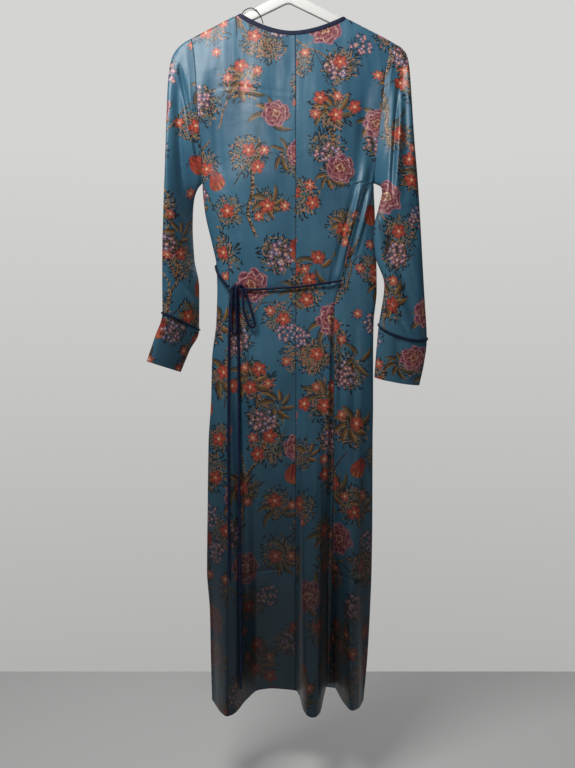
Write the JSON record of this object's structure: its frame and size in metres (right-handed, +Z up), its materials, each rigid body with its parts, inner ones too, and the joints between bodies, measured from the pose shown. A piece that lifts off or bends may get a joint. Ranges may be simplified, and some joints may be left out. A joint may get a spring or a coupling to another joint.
{
  "type": "kimono robe on a clothes hanger",
  "caption": "Full-length wrap robe in printed satin with crossing fronts, long cuffed sleeves and a thin tie bowed at the back, on a plain white hanger.",
  "frame": {"origin": "the highest point inside the hanger's hook, where a rail or a wall hook carries it", "axes": "+Z up, +X to the wearer's right, which is the right as seen from behind, and +Y towards the robe's fronts; the back, which shows in the picture, faces -Y"},
  "size_m": [0.5421, 0.1347, 1.4699],
  "materials": {
    "printed_satin": "printed satin, soft sheen",
    "navy_satin": "plain navy satin, soft sheen",
    "loop_cord": "thin matt cord",
    "hanger_plastic": "smooth white, half gloss"
  },
  "bodies": {
    "root": {"back_left": "printed_satin", "back_right": "printed_satin", "front_left": "printed_satin", "front_right": "printed_satin", "sleeve_left": "printed_satin", "sleeve_right": "printed_satin", "cuff_left": "printed_satin", "cuff_right": "printed_satin", "cuff_piping_left": "navy_satin", "cuff_piping_right": "navy_satin", "neck_binding": "navy_satin", "tie_across": "navy_satin", "tie_side": "navy_satin", "tie_knot": "navy_satin", "bow_loop_left": "navy_satin", "bow_loop_right": "navy_satin", "tie_tail_left": "navy_satin", "tie_tail_right": "navy_satin", "hanging_loop": "loop_cord", "hanger_arms": "hanger_plastic", "hanger_hook": "hanger_plastic"}
  },
  "joints": []
}
